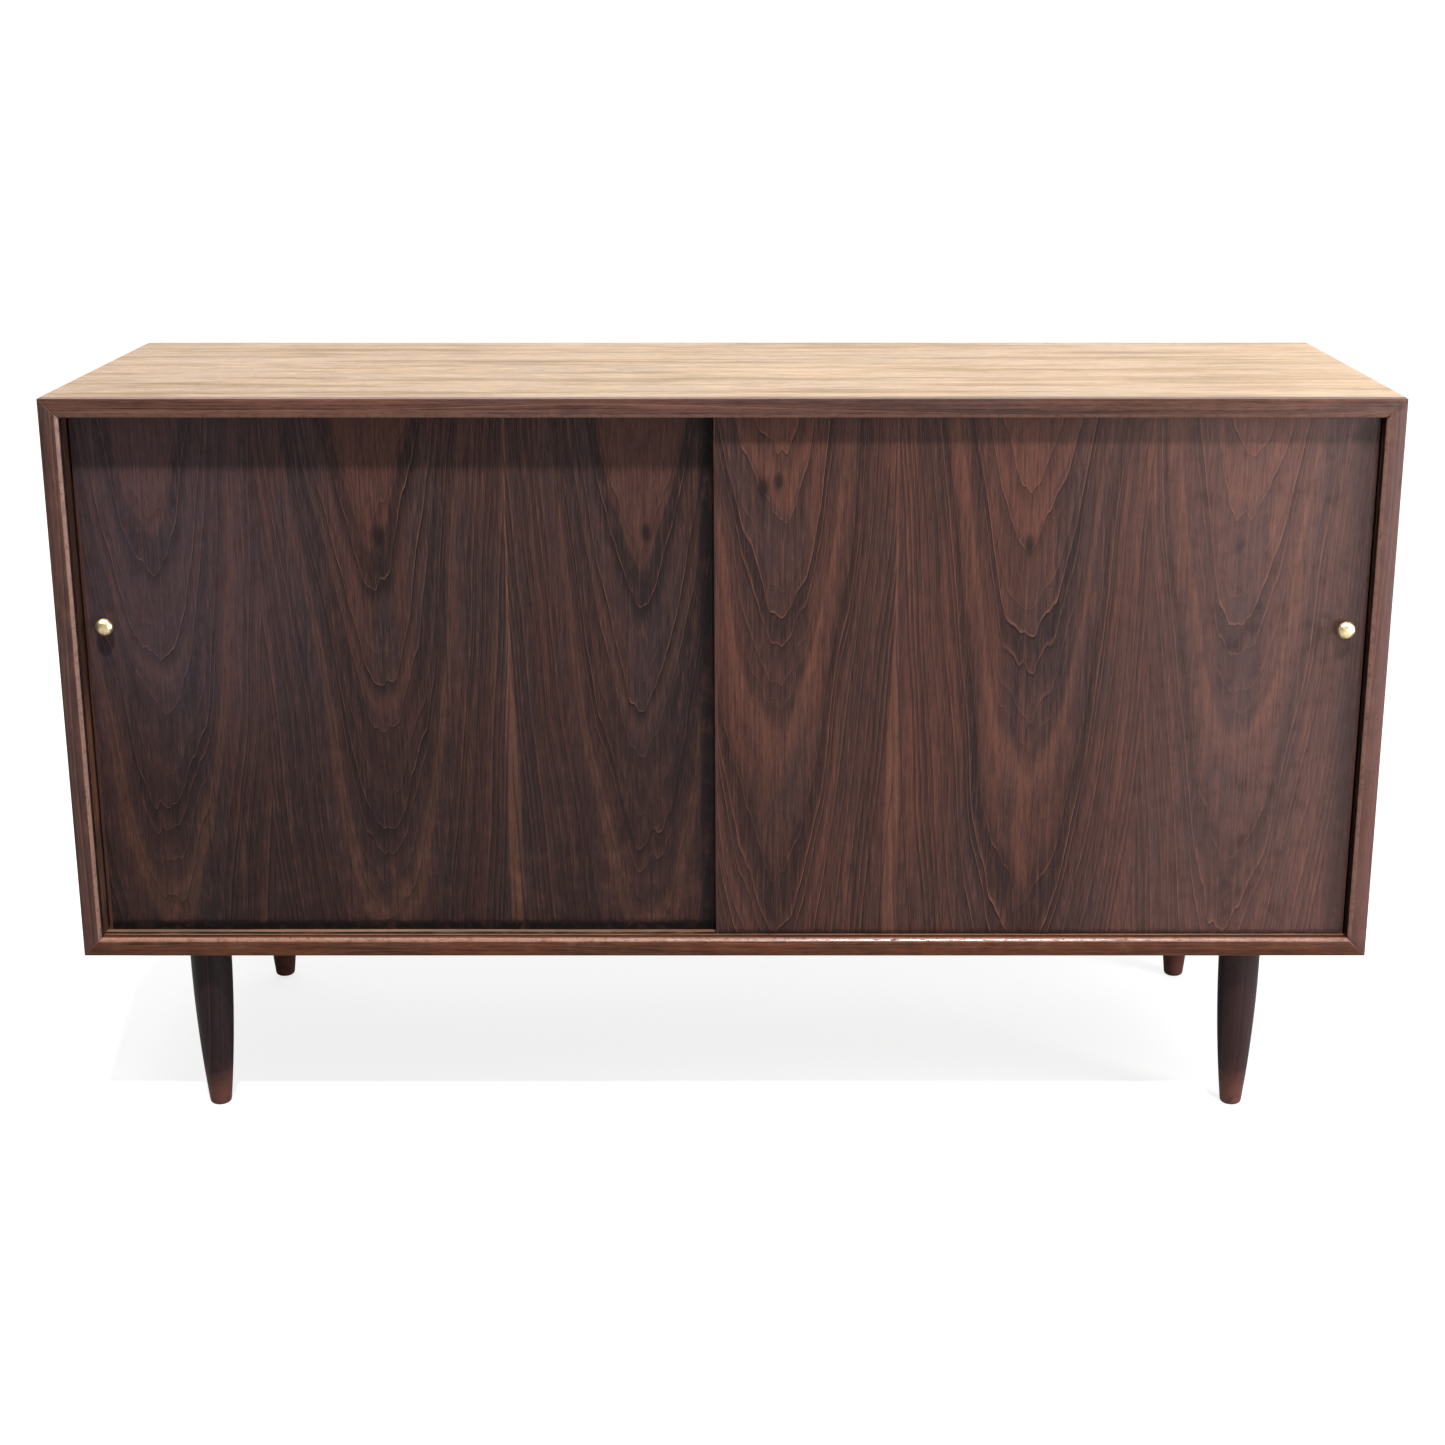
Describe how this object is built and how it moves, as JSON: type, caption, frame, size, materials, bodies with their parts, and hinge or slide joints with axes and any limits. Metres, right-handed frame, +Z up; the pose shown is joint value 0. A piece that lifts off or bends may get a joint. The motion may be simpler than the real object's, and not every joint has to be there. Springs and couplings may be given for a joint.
{
  "type": "sideboard buffet with sliding doors",
  "caption": "Long low walnut sideboard: mitred case with bevelled front edging, bypass sliding doors with small domed knobs, adjustable shelves and turned legs.",
  "frame": {"origin": "floor level under the middle of the case", "axes": "+X along the length, to the right as seen from the front; +Z up; the doors face -Y"},
  "size_m": [1.4, 0.46, 0.804],
  "materials": {
    "case_veneer": "walnut veneer, satin oil finish, grain along the board",
    "solid_edging": "solid walnut, satin, bevelled and slightly worn",
    "door_veneer": "slip-matched crown-cut dark walnut veneer, satin",
    "interior_veneer": "plain walnut veneer, matt",
    "back_plywood": "thin plywood, unpolished",
    "track_hardwood": "close-grained hardwood, waxed and worn grey along the ridge",
    "spline_plywood": "birch plywood, raw",
    "turned_leg": "turned hardwood, dark stain and lacquer, rubbed near the foot",
    "knob_brass": "hammered brass, aged",
    "fitting_steel": "zinc-plated steel",
    "pin_steel": "nickel-plated steel"
  },
  "bodies": {
    "case": {"top_board": "case_veneer", "bottom_board": "case_veneer", "left_board": "case_veneer", "right_board": "case_veneer", "top_front_edging": "solid_edging", "bottom_front_edging": "solid_edging", "left_front_edging": "solid_edging", "right_front_edging": "solid_edging", "partition": "interior_veneer", "left_shelf": "interior_veneer", "right_shelf": "interior_veneer", "back_panel": "back_plywood", "top_track": "track_hardwood", "bottom_track": "track_hardwood", "corner_splines": "spline_plywood", "front_left_leg": "turned_leg", "front_right_leg": "turned_leg", "rear_left_leg": "turned_leg", "rear_right_leg": "turned_leg", "leg_plates": "fitting_steel", "leg_bolts": "fitting_steel", "leg_plate_screws": "fitting_steel", "back_panel_screws": "fitting_steel", "shelf_pins": "pin_steel"},
    "left_door": {"left_door_panel": "door_veneer", "left_door_edge_bands": "solid_edging", "left_knob": "knob_brass", "left_knob_screw": "fitting_steel"},
    "right_door": {"right_door_panel": "door_veneer", "right_door_edge_bands": "solid_edging", "right_knob": "knob_brass", "right_knob_screw": "fitting_steel"}
  },
  "joints": [
    {"name": "left_door_slide", "type": "slide", "parent": "case", "child": "left_door", "axis": [1, 0, 0], "range_m": [0, 0.318]},
    {"name": "right_door_slide", "type": "slide", "parent": "case", "child": "right_door", "axis": [-1, 0, 0], "range_m": [0, 0.318]}
  ]
}
